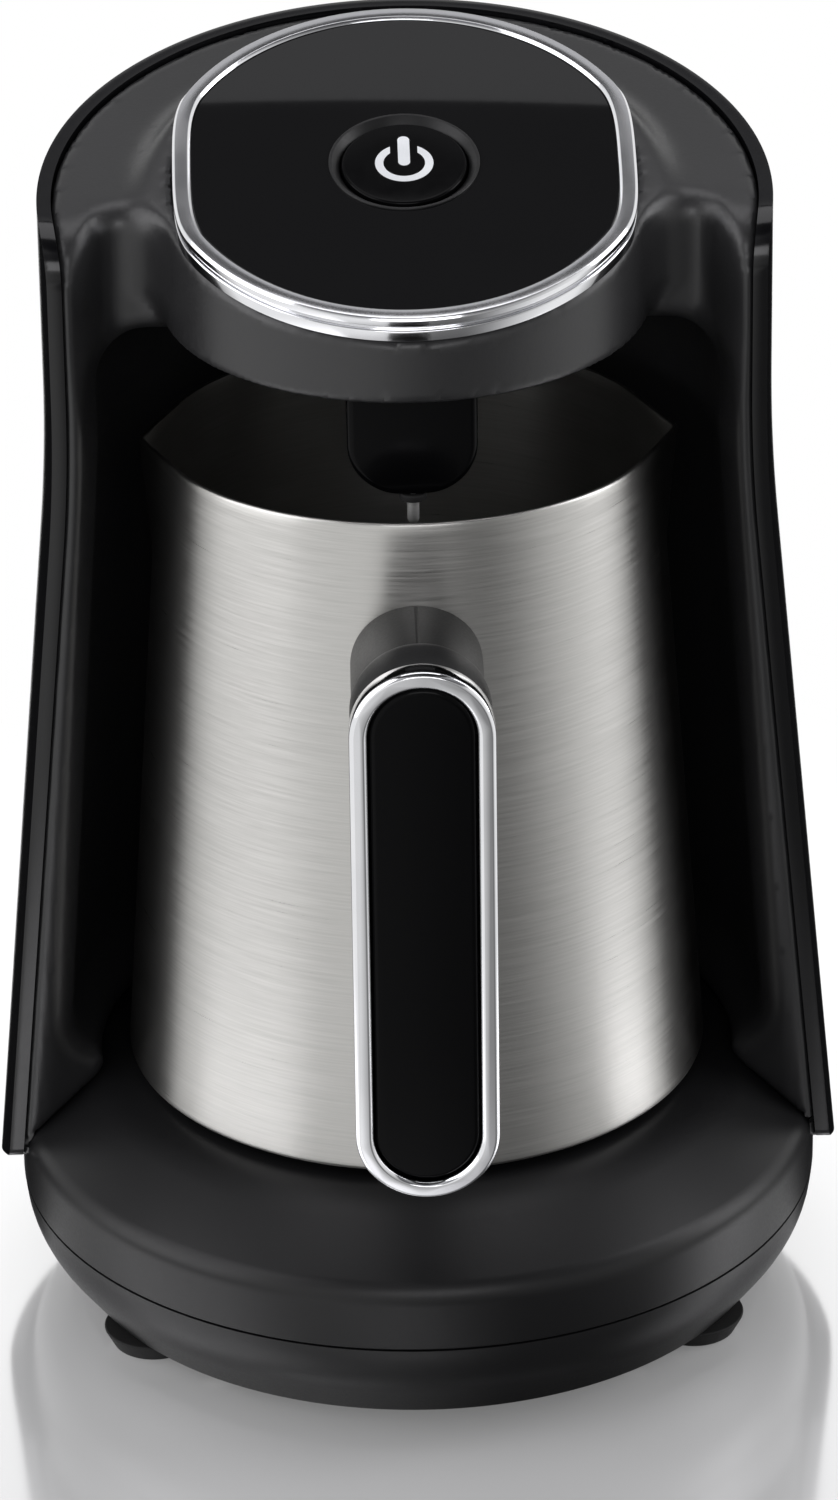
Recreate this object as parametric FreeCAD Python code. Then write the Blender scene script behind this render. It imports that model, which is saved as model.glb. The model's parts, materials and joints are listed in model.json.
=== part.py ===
import FreeCAD, Part
import math
import os

# Electric coffee maker: a round base with a heated deck, a tapered back shell that wraps the
# pot, a head with a tilted control panel over it, and a steel pot with an upright handle.
# Millimetres. While it is drawn, the pot's axis is X = Y = 0, the floor Z = 0 and the front -Y.

# Driving dimensions
overall_width = 149.0
panel_height = 210.5
panel_tilt = 16.5
pot_height = 119.0
pot_bottom_r = 50.8
pot_rim_r = 42.5
handle_reach = 82.0
wall = 2.4
gap = 0.3

# Levels
foot_height = 3.5
seam_z = 20.7
base_edge_z = 32.0
deck_z = 43.3
rest_z = 44.5
bay_top_z = 181.5
drum_bottom_z = 184.3
crown_z = 205.0
crown_tilt = 9.4
taper_end_z = 160.0
taper_ease = 14.0

# Radii and depths of the housings
shell_low_r = overall_width / 2
shell_top_r = 61.8
base_r = 70.4
base_bottom_r = 62.0
deck_r = 53.0
bay_low_r = 61.5
bay_top_r = 52.8
bay_foot = 10.0
bay_front_half = 50.5
bay_front_y = -3.0
wing_y = -14.0
shoulder_y = -6.0
rim_band = 3.6
drum_r = 40.8
drum_y = 2.5

# Trim ring, panel and button, on the panel's own axis
ring_r = 40.7
ring_flat = 38.9
ring_width = 3.0
ring_height = 0.8
ring_depth = 4.2
panel_thickness = 2.2
bezel_r = 12.7
button_r = 10.6
button_top = -0.1
button_travel = 1.2
board_top = -13.0
board_thickness = 1.6

# Heater
plate_r = 41.0
plate_thickness = 2.5
element_r = 27.0
element_tube_r = 3.2

# Pot
pot_wall = 0.9
pot_base = 3.0
rim_drop = 5.0
spout_reach = 46.2
spout_tip_r = 2.5
spout_height = 24.0
seat_gap = 0.05

# Handle
handle_width = 24.0
handle_low = 13.0
handle_high = 111.0
frame_width = 3.0
frame_depth = 4.0
grip_back_y = -67.0
mount_width = 22.2
mount_high = 104.6
mount_drop = 44.0

# Sensor
sensor_width = 22.0
sensor_front_y = -35.5
sensor_back_y = -18.0
sensor_bottom_z = rest_z + 120.9
pin_y = -33.4
pin_r = 1.0
pin_tip_z = rest_z + 115.0

# Mains inlet
inlet_z = 27.5
inlet_bore_r = 3.3
inlet_flange_r = 7.5
rear_reach = 77.0

V = FreeCAD.Vector
up = V(0, 0, 1)
origin = V(0, 0, 0)
far = 300.0


def flat_xy(u, v):
    return V(u, v, 0)


def flat_xz(u, v):
    return V(u, 0, v)


def flat_yz(u, v):
    return V(0, u, v)


def outline(corners, place):
    """Closed face through (u, v, radius) corners; a corner with a radius becomes a tangent arc."""
    cuts = []
    count = len(corners)
    for i, (u, v, radius) in enumerate(corners):
        here = V(u, v, 0)
        if not radius:
            cuts.append((here, None, here))
            continue
        before = V(corners[i - 1][0], corners[i - 1][1], 0) - here
        after = V(corners[(i + 1) % count][0], corners[(i + 1) % count][1], 0) - here
        before.normalize()
        after.normalize()
        half = before.getAngle(after) / 2
        middle = before + after
        middle.normalize()
        centre = here + middle * (radius / math.sin(half))
        reach = radius / math.tan(half)
        cuts.append((here + before * reach, centre - middle * radius, here + after * reach))
    edges = []
    for i, (start, bend, end) in enumerate(cuts):
        if bend is not None:
            points = [place(p.x, p.y) for p in (start, bend, end)]
            edges.append(Part.Arc(points[0], points[1], points[2]).toShape())
        following = cuts[(i + 1) % count][0]
        if (following - end).Length > 1e-6:
            edges.append(Part.LineSegment(place(end.x, end.y), place(following.x, following.y)).toShape())
    return Part.Face(Part.Wire(edges))


def turned(corners):
    """Solid of revolution about Z from (radius, z, corner radius) corners."""
    return outline(corners, flat_xz).revolve(origin, up, 360)


def side_block(corners, half_width):
    """Solid with a side outline of (y, z, corner radius) corners, centred on X = 0."""
    face = outline(corners, flat_yz)
    face.translate(V(-half_width, 0, 0))
    return face.extrude(V(2 * half_width, 0, 0))


def front_block(corners, y_front, y_back):
    """Solid with a front outline of (x, z, corner radius) corners."""
    face = outline(corners, flat_xz)
    face.translate(V(0, y_front, 0))
    return face.extrude(V(0, y_back - y_front, 0))


def cylinder(radius, z_low, z_high, x=0.0, y=0.0):
    return Part.makeCylinder(radius, z_high - z_low, V(x, y, z_low), up)


def box(x_low, x_high, y_low, y_high, z_low, z_high):
    return Part.makeBox(x_high - x_low, y_high - y_low, z_high - z_low, V(x_low, y_low, z_low))


def on_panel(shape):
    """Place a shape drawn about its own Z = 0 panel face on the head's tilted panel."""
    shape.rotate(origin, V(1, 0, 0), panel_tilt)
    shape.translate(V(0, 0, panel_height))
    return shape


def corners_of(spread_x, spread_y, centre_y=0.0):
    return [(sx * spread_x, centre_y + sy * spread_y) for sx in (-1, 1) for sy in (-1, 1)]


def shell_radius(z):
    """Outer radius of the back shell: a taper that eases into an upright wall."""
    if z >= taper_end_z + taper_ease:
        return shell_top_r
    slope = (shell_top_r - shell_low_r) / (taper_end_z - seam_z)
    if z > taper_end_z - taper_ease:
        return shell_top_r + slope / 2 * (z - taper_end_z - taper_ease)
    return shell_low_r + slope * (z - seam_z)


def crown_height(y):
    return crown_z + y * math.tan(math.radians(crown_tilt))


def shell_form(inset, z_low, z_high):
    """Solid of the tapered back form, its wall moved in by inset."""
    bends = [z for z in (taper_end_z - taper_ease, taper_end_z + taper_ease) if z > z_low]
    wall_line = [(shell_radius(z) - inset, z, 0) for z in [z_low] + bends + [z_high]]
    return turned([(0, z_low, 0)] + wall_line + [(0, z_high, 0)])


def wing_block(front_y, drop):
    """The back form's side outline: wings at the front, a sloping crown at the top."""
    back_y = shell_low_r + 5
    wing_tip_z = seam_z + 8
    return side_block([
        (front_y, wing_tip_z, 2),
        (front_y + 16, seam_z + 1, 8),
        (back_y, seam_z + 1, 0),
        (back_y, crown_height(back_y) - drop, 0),
        (front_y, crown_height(front_y) - drop, 10),
    ], far / 2)


def base_form(inset, z_low):
    """Solid of the round upper base: straight side, sloping shoulder, level deck."""
    return turned([
        (0, z_low, 0),
        (base_r - inset, z_low, 0),
        (base_r - inset, base_edge_z - 0.4 * inset, 5),
        (deck_r - inset, deck_z - inset, 24),
        (0, deck_z - inset, 0),
    ])


def bay_form(outset):
    """The round hollow that the pot stands in, its wall moved out by outset."""
    floor_z = deck_z + 0.3 - outset
    top_corner = 0 if outset else 9
    return turned([
        (0, floor_z, 0),
        (bay_low_r + outset, floor_z, bay_foot + outset),
        (bay_top_r + outset, taper_end_z, 0),
        (bay_top_r + outset, bay_top_z + outset, top_corner),
        (0, bay_top_z + outset, 0),
    ])


def flare_form(outset):
    """The slanted faces that lead from the wings' rims back to the bay."""
    sections = []
    for z in (seam_z - 5, taper_end_z, bay_top_z + 20):
        crease = shell_radius(z) - wall - rim_band + outset
        front = wing_y - 6
        plan = [
            V(-crease, front, z), V(crease, front, z), V(crease, wing_y + outset, z),
            V(bay_front_half + outset, bay_front_y + outset, z),
            V(-bay_front_half - outset, bay_front_y + outset, z), V(-crease, wing_y + outset, z),
        ]
        sections.append(Part.makePolygon(plan + plan[:1]))
    return Part.makeLoft(sections, True, True)


def ring_disc(radius, flat, z_low, z_high):
    """Round disc with its two sides cut flat, about the panel's axis."""
    half = math.sqrt(radius * radius - flat * flat)
    edges = [
        Part.Arc(V(flat, half, z_low), V(0, radius, z_low), V(-flat, half, z_low)).toShape(),
        Part.LineSegment(V(-flat, half, z_low), V(-flat, -half, z_low)).toShape(),
        Part.Arc(V(-flat, -half, z_low), V(0, -radius, z_low), V(flat, -half, z_low)).toShape(),
        Part.LineSegment(V(flat, -half, z_low), V(flat, half, z_low)).toShape(),
    ]
    return Part.Face(Part.Wire(edges)).extrude(V(0, 0, z_high - z_low))


def inlet_hole(radius):
    return Part.makeCylinder(radius, 40, V(0, base_r - 20, inlet_z), V(0, 1, 0))


# Places shared by several pieces
screw_places = corners_of(36.5, 37.5)
foot_places = {
    "front_left": (-47.5, -30.0),
    "front_right": (47.5, -30.0),
    "rear_left": (-47.5, 30.0),
    "rear_right": (47.5, 30.0),
}
board_posts = corners_of(29.0, 15.5, 13.0)
panel_posts = corners_of(21.0, 15.0)


def base_cover():
    """Lower base: a shallow dish with screw bosses, board posts and vent slots."""
    solid = turned([
        (0, foot_height, 0),
        (base_bottom_r, foot_height, 2.5),
        (base_r - 0.8, seam_z - 7, 16),
        (base_r, seam_z, 0),
        (0, seam_z, 0),
    ])
    solid = solid.cut(turned([
        (0, foot_height + wall, 0),
        (base_bottom_r - 1.5, foot_height + wall, 2),
        (base_r - 0.8 - wall, seam_z - 7, 14),
        (base_r - wall, seam_z + 1, 0),
        (0, seam_z + 1, 0),
    ]))
    for x, y in screw_places:
        solid = solid.fuse(cylinder(4.2, foot_height + wall - 0.2, seam_z, x, y))
        solid = solid.cut(cylinder(1.8, foot_height - 1, seam_z + 1, x, y))
        solid = solid.cut(cylinder(3.6, foot_height - 1, foot_height + 3.0, x, y))
    for x, y in board_posts:
        solid = solid.fuse(cylinder(3.0, foot_height + wall - 0.2, foot_height + wall + 4.0, x, y))
    for x, y in foot_places.values():
        solid = solid.cut(cylinder(3.0, foot_height - 1, foot_height + wall + 1, x, y))
    for i in range(7):
        x = (i - 3) * 6.0
        solid = solid.cut(box(x - 1.0, x + 1.0, -28, -8, foot_height - 1, foot_height + wall + 1))
    return solid.removeSplitter()


def rubber_foot(x, y):
    """Tapered foot with a peg that snaps into the base cover."""
    foot = Part.makeCone(7.2, 9.0, foot_height, V(x, y, 0), up)
    peg = cylinder(3.0, foot_height, foot_height + wall, x, y)
    barb = Part.makeCone(3.8, 2.4, 1.4, V(x, y, foot_height + wall), up)
    return foot.fuse(peg).fuse(barb).removeSplitter()


def base_housing():
    """Upper base: side wall, sloping shoulder and the deck with its opening for the plate."""
    solid = base_form(0, seam_z).cut(base_form(wall, seam_z - 1))
    for x, y in screw_places:
        post = cylinder(4.2, seam_z, deck_z - wall + 0.2, x, y).cut(cylinder(1.4, seam_z - 1, seam_z + 14, x, y))
        solid = solid.fuse(post)
    solid = solid.cut(cylinder(plate_r + 2.0, deck_z - 10, deck_z + 1))
    solid = solid.cut(inlet_hole(5.0))
    cable_slot = box(-12, 12, 57, 66, deck_z - 20, deck_z + 1)
    return solid.cut(cable_slot).removeSplitter()


def plate_seal():
    """Rubber ring between the heated plate and the deck."""
    return turned([
        (plate_r, rest_z - plate_thickness - 1.5, 0),
        (plate_r + 2.0, rest_z - plate_thickness - 1.5, 0),
        (plate_r + 2.0, deck_z, 0),
        (plate_r + 1.0, deck_z + 0.3, 0),
        (plate_r, deck_z + 0.3, 0),
    ]).cut(cylinder(plate_r, 0, far)).removeSplitter()


def heater_plate():
    """Plate that the pot stands on, with a rim turned down inside the seal."""
    top = turned([
        (0, rest_z - plate_thickness, 0),
        (plate_r, rest_z - plate_thickness, 0),
        (plate_r, rest_z, 0.8),
        (0, rest_z, 0),
    ])
    skirt = cylinder(plate_r, rest_z - 7, rest_z - plate_thickness)
    skirt = skirt.cut(cylinder(plate_r - 1.5, rest_z - 8, rest_z - plate_thickness))
    return top.fuse(skirt).removeSplitter()


def heating_element():
    """Tubular element clamped round under the plate, with two cold ends that turn down."""
    z = rest_z - plate_thickness - element_tube_r
    ring = Part.makeTorus(element_r, element_tube_r, V(0, 0, z), up, -180, 180, 310)
    ring.rotate(origin, up, 115)
    solid = ring
    for degrees in (65.0, 115.0):
        angle = math.radians(degrees)
        x = element_r * math.cos(angle)
        y = element_r * math.sin(angle)
        solid = solid.fuse(Part.makeSphere(element_tube_r, V(x, y, z)))
        solid = solid.fuse(cylinder(element_tube_r, z - 9, z, x, y))
        solid = solid.fuse(cylinder(1.2, z - 14, z - 9, x, y))
    return solid.removeSplitter()


def thermostat():
    """Snap-disc thermostat pressed to the plate's underside, with two tabs."""
    z = rest_z - plate_thickness
    solid = cylinder(8.0, z - 7, z).fuse(cylinder(9.5, z - 8.5, z - 7))
    for x in (-4.5, 4.5):
        solid = solid.fuse(box(x - 0.4, x + 0.4, -3, 3, z - 14, z - 8.5))
    return solid.removeSplitter()


def heater_bracket():
    """Pressed strap that holds the element and the thermostat up against the plate."""
    z = rest_z - plate_thickness - 2 * element_tube_r - 1.2
    strap = box(-36, 36, -6, 6, z, z + 1.2).cut(cylinder(10.0, z - 1, z + 3))
    for side in (-1, 1):
        x = side * 36
        leg = box(min(x, x + side * 1.2), max(x, x + side * 1.2), -6, 6, z, rest_z - plate_thickness)
        strap = strap.fuse(leg)
    ring = cylinder(11.5, z, z + 1.2).cut(cylinder(9.6, z - 1, z + 3))
    return strap.fuse(ring).removeSplitter()


def power_board():
    """Mains board on the base cover's posts, with relay, capacitor and terminals."""
    z = foot_height + wall + 4.0
    board = box(-33, 33, -7, 33, z, z + 1.6)
    top = z + 1.6
    for x, y in board_posts:
        board = board.cut(cylinder(1.4, z - 1, z + 3, x, y))
    relay = box(-24, -9, 0, 18, top, top + 14)
    capacitor = Part.makeCylinder(5, 12, V(6, 10, top + 5), V(1, 0, 0)).fuse(box(7, 17, 6, 14, top, top + 5))
    terminals = box(-6, 18, 24, 32, top, top + 9)
    return board.fuse(relay).fuse(capacitor).fuse(terminals).removeSplitter()


def inner_fascia():
    """Matt front moulding: wing rims, slanted faces, the bay round the pot, open at the back."""
    form = shell_form(wall + 0.1, seam_z + 1, bay_top_z).common(wing_block(wing_y - 0.5, 0))
    behind = box(-far, far, wing_y + wall, far, 0, bay_top_z - wall)
    hollow = shell_form(wall, seam_z, bay_top_z - wall).common(behind)
    hollow = hollow.cut(bay_form(wall)).cut(flare_form(wall))
    solid = form.cut(bay_form(0)).cut(flare_form(0)).cut(hollow)
    solid = solid.cut(base_form(-0.05, seam_z - 3)).cut(cylinder(bay_low_r - bay_foot, 0, deck_z + 1))
    return max(solid.Solids, key=lambda s: s.Volume)


def rear_shell():
    """Glossy tapered shell round the back and the sides."""
    solid = shell_form(0, seam_z + 1, far).cut(shell_form(wall, seam_z, far + 1))
    solid = solid.common(wing_block(wing_y, -0.4))
    return solid.cut(inlet_hole(5.0)).removeSplitter()


def drum_top_cut():
    """Everything above the tilted plane that the trim ring sits on."""
    return on_panel(box(-far, far, -far, far, -ring_depth, far))


def head_housing():
    """Head moulding: a round drum standing out of a crown that closes the top of the shell."""
    crown = shell_form(wall + 0.1, bay_top_z, far).common(wing_block(wing_y - 0.5, 0))
    channel_half = shell_top_r - wall - rim_band
    crown = crown.cut(box(-channel_half, channel_half, -far, shoulder_y, 0, far))
    edges = []
    for edge in crown.Edges:
        middle = edge.BoundBox.Center
        level = edge.BoundBox.ZLength < 0.1 and abs(middle.x) < 1 and abs(middle.y - shoulder_y) < 0.1
        if level and middle.z > bay_top_z + 5:
            edges.append(edge)
    crown = crown.makeFillet(6.0, edges)
    drum = cylinder(drum_r, drum_bottom_z, far, 0, drum_y)
    solid = crown.fuse(drum).cut(drum_top_cut())
    room = cylinder(drum_r - wall, drum_bottom_z + wall, far, 0, drum_y)
    duct = box(-30, 30, 0, 52, drum_bottom_z + wall, crown_height(30) - wall - 6)
    solid = solid.cut(room).cut(duct)
    floor = cylinder(drum_r - 1, drum_bottom_z, drum_bottom_z + wall, 0, drum_y)
    solid = solid.fuse(floor)
    for x, y in panel_posts:
        post = Part.makeCylinder(3.0, 60, V(x, y, board_top - board_thickness - 60), up)
        post = on_panel(post).common(cylinder(drum_r - 1, drum_bottom_z + 1, far, 0, drum_y))
        solid = solid.fuse(post)
    slot = box(-sensor_width / 2, sensor_width / 2, sensor_front_y, sensor_back_y, 0, far)
    solid = solid.cut(slot.common(box(-far, far, -far, far, drum_bottom_z - 2, drum_bottom_z + wall + 2)))
    cable_slot = box(-12, 12, 45, 50, bay_top_z - 1, drum_bottom_z + wall + 1)
    return solid.cut(cable_slot).removeSplitter()


def trim_ring():
    """Bright ring round the panel: an upper tier, a thin groove and a lower band."""
    groove = 0.9
    band_top = -ring_depth + 2.2
    solid = ring_disc(ring_r, ring_flat, -ring_depth, band_top)
    solid = solid.fuse(ring_disc(ring_r - 0.7, ring_flat - 0.7, band_top, band_top + groove))
    upper = ring_disc(ring_r, ring_flat, band_top + groove, ring_height)
    upper = upper.cut(ring_disc(ring_r - ring_width, ring_flat - ring_width, band_top, far))
    rims = [e for e in upper.Edges if abs(e.BoundBox.ZMin - ring_height) < 1e-3 and e.BoundBox.ZLength < 1e-3]
    upper = upper.makeChamfer(0.45, rims)
    seat = ring_disc(ring_r - ring_width, ring_flat - ring_width, -panel_thickness, far)
    throat = ring_disc(ring_r - ring_width - 2.0, ring_flat - ring_width - 2.0, -far, far)
    return on_panel(solid.fuse(upper).cut(seat).cut(throat).removeSplitter())


def control_panel():
    """Gloss panel set inside the ring, with the button's opening."""
    inset = ring_width + 0.1
    disc = ring_disc(ring_r - inset, ring_flat - inset, -panel_thickness, 0)
    return on_panel(disc.cut(cylinder(bezel_r - 0.6, -far, far)))


def bezel_ring():
    """Dished ring round the button, with a sleeve that guides the cap."""
    inner = button_r + gap
    return on_panel(turned([
        (inner, -5.3, 0),
        (bezel_r - 0.6, -5.3, 0),
        (bezel_r - 0.6, 0.0, 0),
        (bezel_r, 0.0, 0),
        (bezel_r, 0.35, 0.2),
        (bezel_r - 0.5, 0.35, 0),
        (inner, -0.9, 0),
    ]))


def icon_form(z_low, z_high):
    """Round mark open at the top with an upright bar in the opening."""
    stroke = cylinder(4.9, z_low, z_high).cut(cylinder(3.5, z_low, z_high))
    opening = box(-2.3, 2.3, 0, 8, z_low, z_high)
    bar = box(-1.0, 1.0, 0.3, 6.0, z_low, z_high)
    bar = bar.fuse(cylinder(1.0, z_low, z_high, 0, 0.3)).fuse(cylinder(1.0, z_low, z_high, 0, 6.0))
    return stroke.cut(opening), bar.removeSplitter()


def power_button():
    """Hollow cap with a retaining flange below the sleeve and a stem down to the switch."""
    flange_top = -5.3 - 0.1
    solid = turned([
        (0, button_top, 0),
        (button_r, button_top, 0.5),
        (button_r, flange_top, 0),
        (bezel_r - 0.8, flange_top, 0),
        (bezel_r - 0.8, flange_top - 1.2, 0),
        (button_r - 1.2, flange_top - 1.2, 0),
        (button_r - 1.2, button_top - 1.4, 0),
        (2.0, button_top - 1.4, 0),
        (2.0, -8.0, 0),
        (0, -8.0, 0),
    ])
    for piece in icon_form(button_top - 2, button_top + 1):
        solid = solid.cut(piece.cut(cylinder(2.0, -far, button_top - 1.4)))
    return on_panel(solid.removeSplitter())


def power_icon():
    """Light guide under the cap whose raised lines fill the cap's cut-out mark."""
    top = button_top + 0.05
    disc = cylinder(7.6, button_top - 2.6, button_top - 1.4).cut(cylinder(2.0, -far, far))
    solid = disc
    for piece in icon_form(button_top - 1.5, top):
        solid = solid.fuse(piece.cut(cylinder(2.0, -far, button_top - 1.4)))
    return on_panel(solid.removeSplitter())


def control_board():
    """Round-cornered board under the button with its controller, connector and lamp."""
    low = board_top - board_thickness
    outline_corners = [(-25, -19, 4), (25, -19, 4), (25, 19, 4), (-25, 19, 4)]
    board = outline(outline_corners, flat_xy)
    board.translate(V(0, 0, low))
    board = board.extrude(V(0, 0, board_thickness))
    for x, y in panel_posts:
        board = board.cut(cylinder(1.3, low - 1, board_top + 1, x, y))
    chip = box(9, 19, -6, 6, board_top, board_top + 1.6)
    plug = box(-8, 8, 12.8, 18, board_top, board_top + 5)
    return on_panel(board.fuse(chip).fuse(plug).removeSplitter())


def tact_switch():
    """Small push switch that the button's stem presses."""
    body = box(-3, 3, -3, 3, board_top, board_top + 3.1)
    return on_panel(body.fuse(cylinder(1.7, board_top + 3.1, -8.0 - button_travel - 0.05)).removeSplitter())


def status_lamp():
    """Surface lamp beside the switch that lights the mark."""
    return on_panel(box(-8.2, -5.0, -1.4, 1.4, board_top, board_top + 1.6))


def buzzer():
    """Round sounder on the control board."""
    return on_panel(cylinder(4.5, board_top, board_top + 4.2, -15.5, 0).cut(
        cylinder(1.0, board_top + 3, board_top + 5, -15.5, 0)))


def screw(x, y, z_head, z_tip, head_r, shank_r):
    """Pan-head screw along Z from its head level to its tip, either way up."""
    way = 1 if z_tip > z_head else -1
    head = Part.makeCylinder(head_r, 1.8, V(x, y, z_head), V(0, 0, way))
    shank = Part.makeCylinder(shank_r, abs(z_tip - z_head), V(x, y, z_head), V(0, 0, way))
    cross = box(x - 0.4, x + 0.4, y - head_r * 0.6, y + head_r * 0.6, z_head - 0.8, z_head + 0.8)
    return head.fuse(shank).cut(cross).removeSplitter()


def base_screws():
    return Part.makeCompound([
        screw(x, y, foot_height + 1.2, seam_z + 12, 3.2, 1.4) for x, y in screw_places])


def board_screws():
    return Part.makeCompound([
        on_panel(screw(x, y, board_top + 1.8, board_top - board_thickness, 2.4, 1.3)) for x, y in panel_posts])


def power_board_screws():
    top = foot_height + wall + 4.0 + 1.6
    return Part.makeCompound([screw(x, y, top + 1.8, top - 1.6, 2.6, 1.4) for x, y in board_posts])


def sensor_form(inset, z_top):
    half = sensor_width / 2 - gap / 2 - inset
    return front_block([
        (-half, sensor_bottom_z + inset, 9 - inset),
        (half, sensor_bottom_z + inset, 9 - inset),
        (half, z_top, 0),
        (-half, z_top, 0),
    ], sensor_front_y + gap / 2 + inset, sensor_back_y - gap / 2 - inset)


def sensor_housing():
    """Tongue-shaped cover that hangs below the drum and carries the foam sensor's pin."""
    seat_z = drum_bottom_z + wall
    solid = sensor_form(0, seat_z + 0.5)
    front = [e for e in solid.Edges if abs(e.BoundBox.YMin - e.BoundBox.YMax) < 1e-3
             and e.BoundBox.YMin < sensor_front_y + 1 and e.BoundBox.ZMin < seat_z - 1]
    solid = solid.makeFillet(1.2, front)
    flange = box(-sensor_width / 2 - 3, sensor_width / 2 + 3, sensor_front_y + 2.6, sensor_back_y + 3,
                 seat_z, seat_z + 1.8)
    solid = solid.fuse(flange).cut(sensor_form(1.8, far))
    return solid.cut(cylinder(1.5, 0, sensor_bottom_z + 3, 0, pin_y + 2)).cut(
        cylinder(pin_r, 0, sensor_bottom_z + 6, 0, pin_y)).removeSplitter()


def sensor_collar():
    """Rubber collar that seals the pin where it leaves its cover."""
    ring = cylinder(2.3, sensor_bottom_z - 1.2, sensor_bottom_z, 0, pin_y)
    return ring.cut(cylinder(pin_r, 0, far, 0, pin_y))


def sensor_pin():
    """Steel pin whose tip reaches just below the pot's rim."""
    rod = cylinder(pin_r, pin_tip_z + pin_r, sensor_bottom_z + 4, 0, pin_y)
    return rod.fuse(Part.makeSphere(pin_r, V(0, pin_y, pin_tip_z + pin_r))).removeSplitter()


def pot_section(z, radius, reach, tip_r):
    """Level outline of the pot: a circle drawn out to a small round tip on each side."""
    turn = math.acos((radius - tip_r) / (reach - tip_r))
    side = V(math.cos(turn), math.sin(turn), 0)
    centre = V(0, 0, z)
    tip = V(reach - tip_r, 0, z)
    right_top = centre + side * radius
    tip_top = tip + side * tip_r
    flip_y = V(1, -1, 1)
    flip_x = V(-1, 1, 1)

    def mirrored(point, flips):
        return V(point.x * flips.x, point.y * flips.y, point.z)

    tip_low = mirrored(tip_top, flip_y)
    right_low = mirrored(right_top, flip_y)
    left_top = mirrored(right_top, flip_x)
    left_low = mirrored(right_low, flip_x)
    left_tip_top = mirrored(tip_top, flip_x)
    left_tip_low = mirrored(tip_low, flip_x)
    edges = [
        Part.Arc(tip_low, V(reach, 0, z), tip_top),
        Part.LineSegment(tip_top, right_top),
        Part.Arc(right_top, V(0, radius, z), left_top),
        Part.LineSegment(left_top, left_tip_top),
        Part.Arc(left_tip_top, V(-reach, 0, z), left_tip_low),
        Part.LineSegment(left_tip_low, left_low),
        Part.Arc(left_low, V(0, -radius, z), right_low),
        Part.LineSegment(right_low, tip_low),
    ]
    return Part.Wire([edge.toShape() for edge in edges])


def pot_radius(height):
    """Outer radius of the pot at a height above its bottom."""
    return pot_bottom_r + (pot_rim_r - pot_bottom_r) * height / pot_height


def pot_form(inset, low):
    """Solid of the pot with both spouts, its wall moved in by inset, from a height upward."""
    neck = pot_height - spout_height
    brim = pot_height + 3
    corner = 2.5 if inset == 0 else 1.8
    body = turned([
        (0, rest_z + seat_gap + low, 0),
        (pot_radius(low) - inset, rest_z + seat_gap + low, corner),
        (pot_radius(neck) - inset, rest_z + neck, 0),
        (0, rest_z + neck, 0),
    ])
    sections = []
    for height, reach in ((neck, pot_radius(neck) + 0.1), (brim, spout_reach + 0.4)):
        sections.append(pot_section(rest_z + height, pot_radius(height) - inset, reach - inset, spout_tip_r))
    return body.fuse(Part.makeLoft(sections, True, True))


def above_rim():
    """Everything above the pot's rim, which dips towards the back."""
    half = pot_rim_r
    middle = rest_z + pot_height - rim_drop / 2
    slope = rim_drop / (2 * half)
    return side_block([
        (-far, middle + slope * far, 0),
        (far, middle - slope * far, 0),
        (far, far + 100, 0),
        (-far, far + 100, 0),
    ], far / 2)


def pot_body():
    """Brushed steel pot with a thick base and a spout on each side."""
    outer = pot_form(0, 0)
    inner = pot_form(pot_wall, pot_base)
    return outer.cut(inner).cut(above_rim()).removeSplitter()


def mount_form():
    """Arched arm between the pot's wall and the handle."""
    half = mount_width / 2
    top = rest_z + mount_high
    arm = front_block([
        (-half, top - mount_drop, 6),
        (half, top - mount_drop, 6),
        (half, top, half - 0.01),
        (-half, top, half - 0.01),
    ], grip_back_y, -38)
    return arm


def handle_bracket():
    """Steel tab welded to the pot's wall inside the arm."""
    z = rest_z + mount_high - 26
    plate = box(-7, 7, -50, -44, z - 9, z + 9)
    plate = plate.common(pot_form(-1.2, 0)).cut(pot_form(-0.02, 0))
    tab = box(-6, 6, -62, -44, z - 1, z + 1).cut(pot_form(-0.02, 0))
    return plate.fuse(tab).cut(cylinder(1.6, 0, far, 0, -56)).removeSplitter()


def handle_screw():
    z = rest_z + mount_high - 26
    return screw(0, -56, rest_z + mount_high - mount_drop + 3, z + 8, 3.0, 1.6)


def handle_mount():
    """Arm moulding, hollowed for its bracket and screw."""
    z_low = rest_z + mount_high - mount_drop
    z = rest_z + mount_high - 26
    solid = mount_form().cut(pot_form(-0.05, 0))
    solid = solid.cut(box(-7.2, 7.2, -51, -44, z - 9.2, z + 9.2).common(pot_form(-1.4, 0)))
    solid = solid.cut(box(-6.1, 6.1, -62.2, -44, z - 1.1, z + 1.1))
    solid = solid.cut(cylinder(1.6, z_low, z + 9, 0, -56)).cut(cylinder(3.6, z_low - 1, z_low + 4.8, 0, -56))
    return solid.removeSplitter()


def stadium(half_width, z_low, z_high, y_front, y_back):
    """Upright slab with full round ends."""
    return front_block([
        (-half_width, z_low, half_width - 0.01),
        (half_width, z_low, half_width - 0.01),
        (half_width, z_high, half_width - 0.01),
        (-half_width, z_high, half_width - 0.01),
    ], y_front, y_back)


def handle_levels(inset):
    return rest_z + handle_low + inset, rest_z + handle_high - inset


def handle_frame():
    """Bright oblong frame round the grip's front."""
    low, high = handle_levels(0)
    front = -handle_reach
    half = handle_width / 2
    solid = stadium(half, low, high, front, front + frame_depth)
    solid = solid.cut(stadium(half - frame_width, low + frame_width, high - frame_width, front - 1, front + 9))
    rims = [e for e in solid.Edges if abs(e.BoundBox.YMax - front) < 1e-3]
    return solid.makeChamfer(0.6, rims)


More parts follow.
